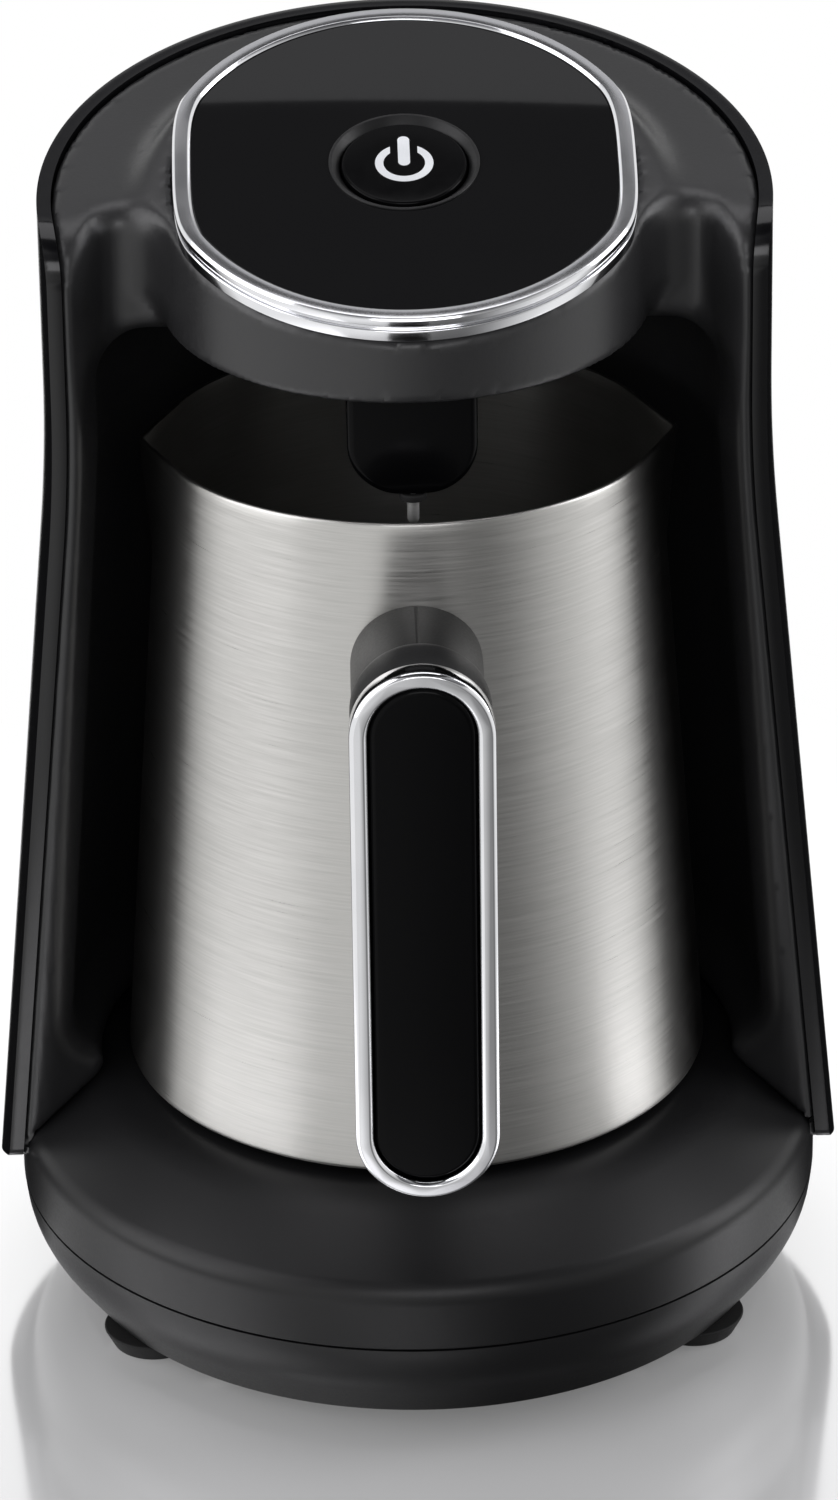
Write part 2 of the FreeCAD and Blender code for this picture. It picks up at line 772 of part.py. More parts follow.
def handle_insert():
    """Gloss plate set inside the frame, slightly crowned."""
    inset = frame_width + 0.1
    low, high = handle_levels(inset)
    front = -handle_reach + 0.8
    solid = stadium(handle_width / 2 - inset, low, high, front, -handle_reach + frame_depth)
    rims = [e for e in solid.Edges if abs(e.BoundBox.YMax - front) < 1e-3]
    return solid.makeFillet(1.2, rims)


def handle_grip():
    """Grip core behind the frame, its back edges rounded for the fingers."""
    low, high = handle_levels(0.3)
    solid = stadium(handle_width / 2 - 0.3, low, high, -handle_reach + frame_depth, grip_back_y)
    rims = [e for e in solid.Edges if abs(e.BoundBox.YMin - grip_back_y) < 1e-3]
    return solid.makeFillet(4.0, rims)


def cord_inlet():
    """Bushing that lines the mains lead's hole through the shell and the base."""
    y_flange = rear_reach - 2.6
    sleeve = Part.makeCylinder(4.8, y_flange - 62, V(0, 62, inlet_z), V(0, 1, 0))
    flange = Part.makeCylinder(inlet_flange_r, rear_reach - y_flange + 1.2, V(0, y_flange - 1.2, inlet_z), V(0, 1, 0))
    flange = flange.cut(shell_form(0.0, seam_z, far))
    nut = Part.makeCylinder(6.5, 3, V(0, 64, inlet_z), V(0, 1, 0)).common(base_form(wall + 0.05, seam_z))
    solid = sleeve.fuse(flange).fuse(nut)
    return solid.cut(Part.makeCylinder(inlet_bore_r, 30, V(0, 55, inlet_z), V(0, 1, 0))).removeSplitter()


pieces = {
    "base_cover": base_cover,
    "base_housing": base_housing,
    "plate_seal": plate_seal,
    "heater_plate": heater_plate,
    "heating_element": heating_element,
    "thermostat": thermostat,
    "heater_bracket": heater_bracket,
    "power_board": power_board,
    "power_board_screws": power_board_screws,
    "inner_fascia": inner_fascia,
    "rear_shell": rear_shell,
    "head_housing": head_housing,
    "trim_ring": trim_ring,
    "control_panel": control_panel,
    "bezel_ring": bezel_ring,
    "power_button": power_button,
    "power_icon": power_icon,
    "control_board": control_board,
    "tact_switch": tact_switch,
    "status_lamp": status_lamp,
    "buzzer": buzzer,
    "board_screws": board_screws,
    "base_screws": base_screws,
    "sensor_housing": sensor_housing,
    "sensor_collar": sensor_collar,
    "sensor_pin": sensor_pin,
    "cord_inlet": cord_inlet,
    "pot_body": pot_body,
    "handle_bracket": handle_bracket,
    "handle_screw": handle_screw,
    "handle_mount": handle_mount,
    "handle_grip": handle_grip,
    "handle_frame": handle_frame,
    "handle_insert": handle_insert,
}
for place, (foot_x, foot_y) in foot_places.items():
    pieces["foot_" + place] = lambda x=foot_x, y=foot_y: rubber_foot(x, y)

# The finished part stands with its plan centred on the origin.
depth_centre = (rear_reach - handle_reach) / 2

os.makedirs("parts", exist_ok=True)
for name, make in pieces.items():
    shape = make()
    shape.translate(V(0, -depth_centre, 0))
    shape.exportStep("parts/" + name + ".step")
    bounds = shape.optimalBoundingBox()
    print("%-20s solids %d valid %s volume %9.1f  y %.1f %.1f  z %.1f %.1f" % (
        name, len(shape.Solids), shape.isValid(), shape.Volume,
        bounds.YMin, bounds.YMax, bounds.ZMin, bounds.ZMax))
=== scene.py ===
import json
import math

import bmesh
import bpy
import numpy as np
from mathutils import Matrix, Vector


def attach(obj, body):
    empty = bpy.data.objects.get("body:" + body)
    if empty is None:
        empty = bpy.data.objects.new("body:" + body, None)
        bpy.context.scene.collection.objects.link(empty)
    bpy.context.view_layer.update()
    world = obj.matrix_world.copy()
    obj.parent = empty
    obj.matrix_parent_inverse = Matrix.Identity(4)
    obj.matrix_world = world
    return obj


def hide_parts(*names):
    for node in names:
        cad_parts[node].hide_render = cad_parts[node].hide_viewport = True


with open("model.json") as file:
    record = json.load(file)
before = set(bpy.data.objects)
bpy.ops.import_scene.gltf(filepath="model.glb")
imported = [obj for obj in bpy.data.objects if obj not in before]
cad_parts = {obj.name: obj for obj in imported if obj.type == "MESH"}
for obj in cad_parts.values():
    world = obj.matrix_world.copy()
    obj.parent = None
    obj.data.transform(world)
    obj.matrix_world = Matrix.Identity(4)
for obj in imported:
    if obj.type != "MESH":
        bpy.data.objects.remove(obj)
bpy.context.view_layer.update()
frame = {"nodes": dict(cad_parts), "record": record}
mm = 0.001
potAxisY = 0.0025  # the pot's axis stands this far behind the origin
print("frame loaded:", len(frame["nodes"]), "nodes")


def toLinear(hexText):
    parts = [int(hexText[i:i + 2], 16) / 255 for i in (1, 3, 5)]
    return tuple(p / 12.92 if p <= 0.04045 else ((p + 0.055) / 1.055) ** 2.4 for p in parts) + (1.0,)


def addNode(tree, kind, values=None, links=None, **settings):
    node = tree.nodes.new(kind)
    for key, value in settings.items():
        setattr(node, key, value)
    for key, value in (values or {}).items():
        node.inputs[key].default_value = value
    for key, source in (links or {}).items():
        tree.links.new(source, node.inputs[key])
    return node


def mapRange(tree, source, fromMin, fromMax, toMin, toMax, **settings):
    return addNode(tree, "ShaderNodeMapRange",
                   {"From Min": fromMin, "From Max": fromMax, "To Min": toMin, "To Max": toMax},
                   {"Value": source}, **settings)


def mathNode(tree, operation, first, second=None):
    # each side is a number or an output of another node
    values, links = {}, {}
    for slot, given in enumerate((first, second)):
        if given is not None:
            (values if isinstance(given, (int, float)) else links)[slot] = given
    return addNode(tree, "ShaderNodeMath", values, links, operation=operation)


def noise(tree, vector, **values):
    named = {key.capitalize(): value for key, value in values.items()}
    return addNode(tree, "ShaderNodeTexNoise", named, {"Vector": vector})


def tintRamp(tree, source, low, high, start=0.0, end=1.0):
    # two tints of one colour, or two colours, run one into the other
    ramp = addNode(tree, "ShaderNodeValToRGB", links={"Fac": source})
    for element, position, colour in zip(ramp.color_ramp.elements, (start, end), (low, high)):
        element.position = position
        element.color = colour
    return ramp


def scaled(colour, factor):
    return tuple(min(1.0, c * factor) for c in colour[:3]) + (1.0,)


def linkSkin(tree, shader, colour, rough, bump):
    tree.links.new(colour.outputs[0], shader.inputs["Base Color"])
    tree.links.new(rough.outputs[0], shader.inputs["Roughness"])
    tree.links.new(bump.outputs[0], shader.inputs["Normal"])


def newMaterial(name):
    material = bpy.data.materials.new(name)
    material.use_nodes = True
    tree = material.node_tree
    tree.nodes.clear()
    shader = addNode(tree, "ShaderNodeBsdfPrincipled")
    addNode(tree, "ShaderNodeOutputMaterial", links={"Surface": shader.outputs[0]})
    return material, tree, shader


def mouldedPlastic(name, colour, roughness, grainMm, depthMm, sheen=0.5, partingMm=0.0):
    # Injection-moulded ABS: the tool's spark texture breaks the highlight into a fine grain
    material, tree, shader = newMaterial(name)
    place = addNode(tree, "ShaderNodeTexCoord").outputs["Object"]
    grain = noise(tree, place, scale=1 / (grainMm * mm), detail=3.0, roughness=0.6).outputs[0]
    cloud = noise(tree, place, scale=28.0, detail=2.0).outputs[0]
    base = toLinear(colour)
    ramp = tintRamp(tree, cloud, scaled(base, 0.92), scaled(base, 1.08), 0.3, 0.7)
    rough = mapRange(tree, grain, 0.3, 0.7, roughness - 0.04, roughness + 0.05)
    bump = addNode(tree, "ShaderNodeBump", {"Strength": 0.5, "Distance": depthMm * mm}, {"Height": grain})
    if partingMm:
        # the line where the two halves of the tool met, a fine step down the middle
        split = addNode(tree, "ShaderNodeSeparateXYZ", links={"Vector": place})
        half = mathNode(tree, "ABSOLUTE", split.outputs["X"])
        line = mapRange(tree, half.outputs[0], 0.0, partingMm * mm, 0.0, 1.0)
        bump = addNode(tree, "ShaderNodeBump", {"Strength": 1.0, "Distance": 0.5 * partingMm * mm},
                       {"Height": line.outputs[0], "Normal": bump.outputs[0]})
    linkSkin(tree, shader, ramp, rough, bump)
    shader.inputs["IOR"].default_value = 1.53
    shader.inputs["Specular IOR Level"].default_value = sheen
    return material


def pianoPlastic(name, colour, roughness, shine):
    # Polished black ABS: mirror skin with the slow waviness of a large moulding and faint wiping marks
    material, tree, shader = newMaterial(name)
    place = addNode(tree, "ShaderNodeTexCoord").outputs["Object"]
    wave = noise(tree, place, scale=45.0, detail=1.0).outputs[0]
    wipe = noise(tree, place, scale=260.0, detail=4.0, distortion=1.5).outputs[0]
    base = toLinear(colour)
    ramp = tintRamp(tree, wave, scaled(base, 0.9), scaled(base, 1.15))
    rough = mapRange(tree, wipe, 0.35, 0.75, roughness, roughness * 1.3)
    bump = addNode(tree, "ShaderNodeBump", {"Strength": 0.2, "Distance": 0.05 * roughness * mm}, {"Height": wave})
    linkSkin(tree, shader, ramp, rough, bump)
    shader.inputs["IOR"].default_value = 1.53
    shader.inputs["Specular IOR Level"].default_value = shine
    return material


def chromePlate(name):
    # Bright chrome on ABS: near mirror, with the slightest flow in the plating
    material, tree, shader = newMaterial(name)
    place = addNode(tree, "ShaderNodeTexCoord").outputs["Object"]
    flow = noise(tree, place, scale=90.0, detail=2.0).outputs[0]
    ramp = tintRamp(tree, flow, toLinear("#dcdde0"), toLinear("#ececee"))
    rough = mapRange(tree, flow, 0.0, 1.0, 0.06, 0.13)
    bump = addNode(tree, "ShaderNodeBump", {"Strength": 0.15, "Distance": 0.02 * mm}, {"Height": flow})
    linkSkin(tree, shader, ramp, rough, bump)
    shader.inputs["Metallic"].default_value = 1.0
    return material


def turnedSteel(name, colour, roughness, anisotropy, lineMm):
    # Stainless steel brushed round the pot: lines lie level, so highlights stretch up and down
    material, tree, shader = newMaterial(name)
    place = addNode(tree, "ShaderNodeTexCoord").outputs["Object"]
    centre = addNode(tree, "ShaderNodeMapping", {"Location": (0.0, -potAxisY, 0.0)}, {"Vector": place})
    split = addNode(tree, "ShaderNodeSeparateXYZ", links={"Vector": centre.outputs[0]})
    turn = mathNode(tree, "ARCTAN2", split.outputs[1], split.outputs[0])
    level = mathNode(tree, "MULTIPLY", split.outputs[2], 1 / (lineMm * mm))
    sweep = mathNode(tree, "MULTIPLY", turn.outputs[0], 2.2)
    lay = addNode(tree, "ShaderNodeCombineXYZ", links={0: sweep.outputs[0], 2: level.outputs[0]})
    lines = noise(tree, lay.outputs[0], scale=1.0, detail=4.0, roughness=0.7).outputs[0]
    base = toLinear(colour)
    ramp = tintRamp(tree, lines, scaled(base, 0.86), scaled(base, 1.12), 0.25, 0.75)
    rough = mapRange(tree, lines, 0.3, 0.7, roughness - 0.05, roughness + 0.07)
    bump = addNode(tree, "ShaderNodeBump", {"Strength": 0.35, "Distance": 0.03 * mm}, {"Height": lines})
    linkSkin(tree, shader, ramp, rough, bump)
    if anisotropy:
        around = addNode(tree, "ShaderNodeTangent", direction_type="RADIAL", axis="Z")
        tree.links.new(around.outputs[0], shader.inputs["Tangent"])
        shader.inputs["Anisotropic"].default_value = anisotropy
        shader.inputs["Anisotropic Rotation"].default_value = 0.25
    shader.inputs["Metallic"].default_value = 1.0
    return material


def litPlastic(name):
    # Translucent white ABS lit from behind by the board's lamp
    material, tree, shader = newMaterial(name)
    place = addNode(tree, "ShaderNodeTexCoord").outputs["Object"]
    glow = noise(tree, place, scale=160.0).outputs[0]
    level = mapRange(tree, glow, 0.0, 1.0, 0.25, 0.5)
    tree.links.new(level.outputs[0], shader.inputs["Emission Strength"])
    shader.inputs["Emission Color"].default_value = toLinear("#f4f6fa")
    shader.inputs["Base Color"].default_value = toLinear("#a9abae")
    shader.inputs["Roughness"].default_value = 0.4
    return material


finishes = {
    "satinAbs": mouldedPlastic("satinMouldedAbs", "#121213", 0.36, 0.5, 0.02, 0.28),
    "grainAbs": mouldedPlastic("grainedMouldedAbs", "#232324", 0.36, 0.6, 0.03),
    "gripAbs": mouldedPlastic("softTouchAbs", "#101011", 0.40, 0.5, 0.02, 0.4),
    "mountAbs": mouldedPlastic("splitMouldedAbs", "#101011", 0.40, 0.5, 0.02, 0.4, 0.35),
    "pianoAbs": pianoPlastic("polishedBlackAbs", "#08080a", 0.14, 0.38),
    "panelAbs": pianoPlastic("tintedPanelAcrylic", "#111112", 0.01, 0.5),
    "insertAbs": pianoPlastic("smokedBlackAbs", "#060607", 0.13, 0.07),
    "chrome": chromePlate("brightChromePlate"),
    "potSteel": turnedSteel("brushedStainlessSteel", "#b9b8b5", 0.32, 0.75, 0.45),
    "pinSteel": turnedSteel("polishedStainlessSteel", "#f0f0ee", 0.45, 0.0, 0.8),
    "plainSteel": turnedSteel("zincPlatedSteel", "#a5a5a3", 0.35, 0.0, 0.8),
    "plateCoat": mouldedPlastic("hardAnodisedAluminium", "#1b1b1c", 0.40, 0.8, 0.03),
    "rubber": mouldedPlastic("mouldedRubber", "#161616", 0.72, 0.7, 0.05, 0.3),
    "laminate": mouldedPlastic("glassEpoxyLaminate", "#1d4a2c", 0.38, 0.9, 0.02),
    "lit": litPlastic("litOpalPlastic"),
}
finishOfSlot = {
    "satin_black_plastic": "satinAbs", "matte_black_plastic": "grainAbs", "gloss_black_plastic": "pianoAbs",
    "bright_chrome": "chrome", "brushed_steel": "potSteel", "plain_steel": "plainSteel",
    "coated_aluminium": "plateCoat", "black_rubber": "rubber", "board_laminate": "laminate",
    "lit_white_plastic": "lit",
}
slotOfNode = {s["node"]: s["material_slot"] for s in frame["record"]["subparts"]}
bodyOfNode = {n: b for b, ns in frame["record"]["behaviour"]["bodies"].items() for n in ns}
print("materials made:", len(finishes))


# mesh helpers
def softLine(corners, closed=False):
    # (u, v, radius) corners to points, a rounded corner becoming a short arc
    points = []
    count = len(corners)
    for i, (u, v, radius) in enumerate(corners):
        here = Vector((u, v))
        if not radius or (not closed and i in (0, count - 1)):
            points.append((u, v))
            continue
        before = (Vector(corners[i - 1][:2]) - here).normalized()
        after = (Vector(corners[(i + 1) % count][:2]) - here).normalized()
        half = before.angle(after) / 2
        centre = here + (before + after).normalized() * (radius / math.sin(half))
        start = here + before * (radius / math.tan(half)) - centre
        turn = math.pi - 2 * half
        side = 1 if start.cross(here - centre) > 0 else -1
        steps = max(3, int(math.degrees(turn) / 7))
        for k in range(steps + 1):
            a = side * turn * k / steps
            points.append((centre.x + start.x * math.cos(a) - start.y * math.sin(a),
                           centre.y + start.x * math.sin(a) + start.y * math.cos(a)))
    return points


def gridMesh(rows, closeRows=False, closeColumns=False):
    # rows of points, joined row to row; equal points merge, so poles and seams close
    bm = bmesh.new()
    verts = [[bm.verts.new(p) for p in row] for row in rows]
    rowCount, columnCount = len(verts), len(verts[0])
    for i in range(rowCount if closeRows else rowCount - 1):
        for j in range(columnCount if closeColumns else columnCount - 1):
            corners = [verts[i][j], verts[(i + 1) % rowCount][j],
                       verts[(i + 1) % rowCount][(j + 1) % columnCount], verts[i][(j + 1) % columnCount]]
            bm.faces.new(corners)
    bmesh.ops.remove_doubles(bm, verts=bm.verts, dist=1e-6)
    bmesh.ops.dissolve_degenerate(bm, edges=bm.edges, dist=1e-7)
    bmesh.ops.recalc_face_normals(bm, faces=bm.faces)
    return bm


def latheMesh(profile, steps=180, centre=(0.0, potAxisY)):
    # closed profile of (radius, z) points, in millimetres, turned about an upright axis
    rows = []
    for radius, z in profile:
        row = []
        for j in range(steps):
            angle = 2 * math.pi * j / steps
            row.append((centre[0] + radius * mm * math.cos(angle),
                        centre[1] + radius * mm * math.sin(angle), z * mm))
        rows.append(row)
    return gridMesh(rows, closeRows=True, closeColumns=True)


def meshObject(name, bm):
    mesh = bpy.data.meshes.new(name)
    bm.to_mesh(mesh)
    bm.free()
    holder = bpy.data.objects.new(name, mesh)
    bpy.context.scene.collection.objects.link(holder)
    return holder


def finish(name, bm, finishName, nodes, smoothAngle, bevel=None):
    # one finished piece: mesh object at the origin that stands for its CAD nodes and rides on their body
    piece = meshObject(name, bm)
    piece.data.materials.append(finishes[finishName])
    if bevel:
        edge = piece.modifiers.new("edge", "BEVEL")
        edge.width = bevel * mm
        edge.segments = 3
        edge.limit_method = "ANGLE"
        edge.angle_limit = math.radians(smoothAngle)
        edge.use_clamp_overlap = True
        depsgraph = bpy.context.evaluated_depsgraph_get()
        bevelled = bpy.data.meshes.new_from_object(piece.evaluated_get(depsgraph))
        piece.modifiers.clear()
        piece.data = bevelled
        piece.data.name = name
    piece.data.shade_smooth()
    piece.data.set_sharp_from_angle(angle=math.radians(smoothAngle))
    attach(piece, bodyOfNode[nodes[0]])
    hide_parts(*nodes)
    return piece


def softCopy(node, finishName, bevel):
    # the CAD solid itself, welded, with its sharp edges broken as the moulding's are
    bm = bmesh.new()
    bm.from_mesh(frame["nodes"][node].data)
    bmesh.ops.remove_doubles(bm, verts=bm.verts, dist=2e-6)
    bmesh.ops.dissolve_degenerate(bm, edges=bm.edges, dist=1e-6)
    bmesh.ops.dissolve_limit(bm, angle_limit=math.radians(0.4), verts=bm.verts, edges=bm.edges)
    return finish(node + "Skin", bm, finishName, [node], 28, bevel)


def panelMatrix():
    # from the panel's own frame, millimetres about its middle, to the head
    return (Matrix.Translation((0, potAxisY, panel["height"] * mm))
            @ Matrix.Rotation(math.radians(panel["tilt"]), 4, "X"))


# the camera, lamps and floor
camera = {"focal": 184.8, "distance": 1.340, "pitch": 27.0, "yaw": -1.2, "roll": -0.80,
          "target": (0.0011, 0.0025, 0.1000)}


def makeCamera():
    pitch, yaw, roll = (math.radians(camera[k]) for k in ("pitch", "yaw", "roll"))
    back = Vector((math.sin(yaw) * math.cos(pitch), -math.cos(yaw) * math.cos(pitch), math.sin(pitch)))
    right = Vector((math.cos(yaw), math.sin(yaw), 0))
    up = back.cross(right)
    rolledRight = right * math.cos(roll) + up * math.sin(roll)
    rolledUp = up * math.cos(roll) - right * math.sin(roll)
    place = Vector(camera["target"]) + back * camera["distance"]
    data = bpy.data.cameras.new("studioCamera")
    data.lens = camera["focal"]
    data.sensor_width = 36.0
    data.clip_end = 20.0
    holder = bpy.data.objects.new("studioCamera", data)
    turn = Matrix((rolledRight, rolledUp, back)).transposed().to_4x4()
    holder.matrix_world = Matrix.Translation(place) @ turn
    bpy.context.scene.collection.objects.link(holder)
    bpy.context.scene.camera = holder


lamps = {
    "leftPanel": {"size": (1.1, 1.5), "power": 10.5, "at": (-1.15, -0.35, 0.75), "aim": (0, 0, 0.12)},
    "rightPanel": {"size": (0.5, 1.3), "power": 6.8, "at": (1.20, 0.05, 0.70), "aim": (0, 0, 0.12)},
    "topPanel": {"size": (1.2, 1.0), "power": 7.0, "at": (0.0, 0.25, 1.6), "aim": (0, 0, 0.10)},
    "frontFill": {"size": (1.0, 0.6), "power": 5.0, "at": (0.1, -1.7, 1.0), "aim": (0, 0, 0.12)},
}


def makeLamps():
    for name, lamp in lamps.items():
        data = bpy.data.lights.new(name, "AREA")
        data.shape = "RECTANGLE"
        data.size, data.size_y = lamp["size"]
        data.energy = lamp["power"]
        data.color = toLinear("#fdfcff")[:3]
        holder = bpy.data.objects.new(name, data)
        holder.location = lamp["at"]
        aim = Vector(lamp["aim"]) - Vector(lamp["at"])
        holder.rotation_euler = aim.to_track_quat("-Z", "Y").to_euler()
        bpy.context.scene.collection.objects.link(holder)


# in the painted reflection, "edge" is how high the pale wall goes, as the upright part of a direction; above it
# the mirrored room is dark
room = {"softLevel": 0.38, "softColour": "#f2f3f5", "edge": 0.8208, "overhead": 0.12, "frontShare": 0.40,
        "wall": [(0.0, "#ffffff"), (0.50, "#fbfbfb"), (0.58, "#717174"), (0.70, "#919194"),
                 (0.78, "#c2c2c4"), (1.0, "#c2c2c4")]}
# bearings in radians to the right of straight ahead
frontBearings = {"leftLight": -0.35, "leftDark": 0.30, "rightDark": 0.50, "rightLight": 1.45}


def frontShade(tree, vector, share):
    # painted reflection shade: share of light left in what the gloss mirrors ahead of the object, darkest a little
    # right of the middle
    at = frontBearings
    split = addNode(tree, "ShaderNodeSeparateXYZ", links={"Vector": vector})
    ahead = mathNode(tree, "MULTIPLY", split.outputs["Y"], -1.0)
    bearing = mathNode(tree, "ARCTAN2", split.outputs["X"], ahead.outputs[0]).outputs[0]
    left = mapRange(tree, bearing, at["leftLight"], at["leftDark"], 1.0, share, interpolation_type="SMOOTHSTEP")
    right = mapRange(tree, bearing, at["rightDark"], at["rightLight"], share, 1.0, interpolation_type="SMOOTHSTEP")
    return mathNode(tree, "MAXIMUM", left.outputs[0], right.outputs[0])


def makeWorld():
    # soft grey room for diffuse light; painted reflection for glossy rays: white near the horizon, dark overhead,
    # shaded ahead; plain white behind the object
    world = bpy.data.worlds.new("studioRoom")
    world.use_nodes = True
    tree = world.node_tree
    tree.nodes.clear()
    rays = addNode(tree, "ShaderNodeLightPath")
    place = addNode(tree, "ShaderNodeTexCoord").outputs["Generated"]
    split = addNode(tree, "ShaderNodeSeparateXYZ", links={"Vector": place})
    rise = tintRamp(tree, split.outputs["Z"], toLinear(room["wall"][0][1]), toLinear(room["wall"][-1][1]))
    for position, colour in room["wall"][1:-1]:
        rise.color_ramp.elements.new(position).color = toLinear(colour)
    above = mathNode(tree, "GREATER_THAN", split.outputs["Z"], room["edge"])
    dim = mapRange(tree, above.outputs[0], 0.0, 1.0, 1.0, room["overhead"])
    ahead = frontShade(tree, place, room["frontShare"])
    dim = mathNode(tree, "MULTIPLY", dim.outputs[0], ahead.outputs[0])
    soft = addNode(tree, "ShaderNodeBackground",
                   {"Strength": room["softLevel"], "Color": toLinear(room["softColour"])})
    # painted reflection: this banded wall, dark overhead and front shade are seen only by glossy rays and light
    # nothing
    mirror = addNode(tree, "ShaderNodeBackground", links={"Color": rise.outputs[0], "Strength": dim.outputs[0]})
    white = addNode(tree, "ShaderNodeBackground", {"Strength": 1.0, "Color": (1, 1, 1, 1)})
    plain = mathNode(tree, "MAXIMUM", rays.outputs["Is Camera Ray"], rays.outputs["Is Transmission Ray"])
    seen = addNode(tree, "ShaderNodeMixShader",
                   links={0: rays.outputs["Is Glossy Ray"], 1: soft.outputs[0], 2: mirror.outputs[0]})
    seen = addNode(tree, "ShaderNodeMixShader",
                   links={0: plain.outputs[0], 1: seen.outputs[0], 2: white.outputs[0]})
    addNode(tree, "ShaderNodeOutputWorld", links={"Surface": seen.outputs[0]})
    bpy.context.scene.world = world


# lengths in metres, bearings in radians from straight behind, counted from the object's side
board = {"radius": 6.0, "colour": "#d8d9da", "roughness": 0.12, "fadeStart": 0.10, "fadeEnd": 0.23,
         "body": 0.33, "gloss": 0.72, "glossRoughness": 0.10, "glow": 0.14, "frontShare": 0.18,
         "reflectionPatchSide": 0.073, "reflectionPatchOpens": (0.10, 0.16), "reflectionPatchCloses": (1.0, 1.5)}


def makeFloor():
    # white board, slightly glossy, fading to plain white away from the object
    bm = bmesh.new()
    bmesh.ops.create_circle(bm, cap_ends=True, radius=board["radius"], segments=96)
    floor = meshObject("floorBoard", bm)
    material, tree, shader = newMaterial("whiteAcrylicBoard")
    shader.inputs["Base Color"].default_value = toLinear(board["colour"])
    shader.inputs["Roughness"].default_value = board["roughness"]
    place = addNode(tree, "ShaderNodeTexCoord").outputs["Object"]
    level = addNode(tree, "ShaderNodeVectorMath", {1: (1.0, 1.0, 0.0)}, {0: place}, operation="MULTIPLY")
    far = addNode(tree, "ShaderNodeVectorMath", links={0: level.outputs[0]}, operation="LENGTH")
    fade = mapRange(tree, far.outputs["Value"], board["fadeStart"], board["fadeEnd"], 0.0, 1.0,
                    interpolation_type="SMOOTHSTEP")
    rays = addNode(tree, "ShaderNodeLightPath")
    glossy = rays.outputs["Is Glossy Ray"]
    seen = mathNode(tree, "MAXIMUM", rays.outputs["Is Camera Ray"], glossy)
    seen = mathNode(tree, "MAXIMUM", seen.outputs[0], rays.outputs["Is Transmission Ray"])
    white = addNode(tree, "ShaderNodeEmission", {"Color": (1, 1, 1, 1), "Strength": 1.0})
    body = addNode(tree, "ShaderNodeBsdfDiffuse", {"Color": (board["body"],) * 3 + (1,)})
    gloss = addNode(tree, "ShaderNodeBsdfGlossy", {"Color": (board["gloss"],) * 3 + (1,),
                                                   "Roughness": board["glossRoughness"]})
    glow = addNode(tree, "ShaderNodeEmission", {"Color": (1, 1, 1, 1), "Strength": board["glow"]})
    black = addNode(tree, "ShaderNodeBsdfDiffuse", {"Color": (0.01, 0.01, 0.01, 1)})

    def mixed(share, first, second):
        return addNode(tree, "ShaderNodeMixShader", links={0: share.outputs[0], 1: first.outputs[0],
                                                           2: second.outputs[0]})

    near = addNode(tree, "ShaderNodeAddShader", links={0: body.outputs[0], 1: gloss.outputs[0]})
    near = addNode(tree, "ShaderNodeAddShader", links={0: near.outputs[0], 1: glow.outputs[0]})
    skin = mixed(seen, shader, mixed(fade, near, white))
    # painted reflection: for glossy rays the floor darkens towards black ahead of the object
    shade = mathNode(tree, "SUBTRACT", 1.0, frontShade(tree, place, board["frontShare"]).outputs[0])
    shade = mathNode(tree, "MULTIPLY", shade.outputs[0], glossy)
    skin = mixed(shade, skin, black)
    # painted reflection: a dark patch either side behind the object, painted on the floor and seen only in what
    # its gloss mirrors
    split = addNode(tree, "ShaderNodeSeparateXYZ", links={"Vector": place})
    side = mathNode(tree, "ABSOLUTE", split.outputs["X"])
    side = mathNode(tree, "SUBTRACT", side.outputs[0], board["reflectionPatchSide"])
    bearing = mathNode(tree, "ARCTAN2", side.outputs[0], split.outputs["Y"]).outputs[0]
    opens = mapRange(tree, bearing, *board["reflectionPatchOpens"], 0.0, 1.0)
    closes = mapRange(tree, bearing, *board["reflectionPatchCloses"], 1.0, 0.0)
    paintedReflectionPatch = mathNode(tree, "MULTIPLY", opens.outputs[0], closes.outputs[0])
    paintedReflectionPatch = mathNode(tree, "MULTIPLY", paintedReflectionPatch.outputs[0], glossy)
    skin = mixed(paintedReflectionPatch, skin, black)
    output = [n for n in tree.nodes if n.type == "OUTPUT_MATERIAL"][0]
    tree.links.new(skin.outputs[0], output.inputs["Surface"])
    floor.data.materials.append(material)


# the back shell
shell = {"lowRadius": 74.5, "topRadius": 61.8, "seamZ": 20.7, "taperEndZ": 160.0, "ease": 14.0, "wall": 2.4,
         "frontY": -14.0, "crownZ": 205.0, "crownTilt": 9.4, "topCorner": 10.0, "footCorner": 8.0}


def shellRadius(z):
    slope = (shell["topRadius"] - shell["lowRadius"]) / (shell["taperEndZ"] - shell["seamZ"])
    start, end = shell["taperEndZ"] - shell["ease"], shell["taperEndZ"] + shell["ease"]
    if z >= end:
        return shell["topRadius"]
    radius = shell["lowRadius"] + slope * (z - shell["seamZ"])
    if z > start:
        radius = shell["topRadius"] - slope * (end - z) ** 2 / (4 * shell["ease"])
    return radius


def crownHeight(y):
    return shell["crownZ"] + y * math.tan(math.radians(shell["crownTilt"]))


def lineHeight(points, y):
    # height of a line of (y, z) points at y
    ordered = sorted(points)
    if y <= ordered[0][0]:
        return ordered[0][1]
    for (y0, z0), (y1, z1) in zip(ordered, ordered[1:]):
        if y <= y1:
            return z0 + (z1 - z0) * (y - y0) / max(y1 - y0, 1e-9)
    return ordered[-1][1]


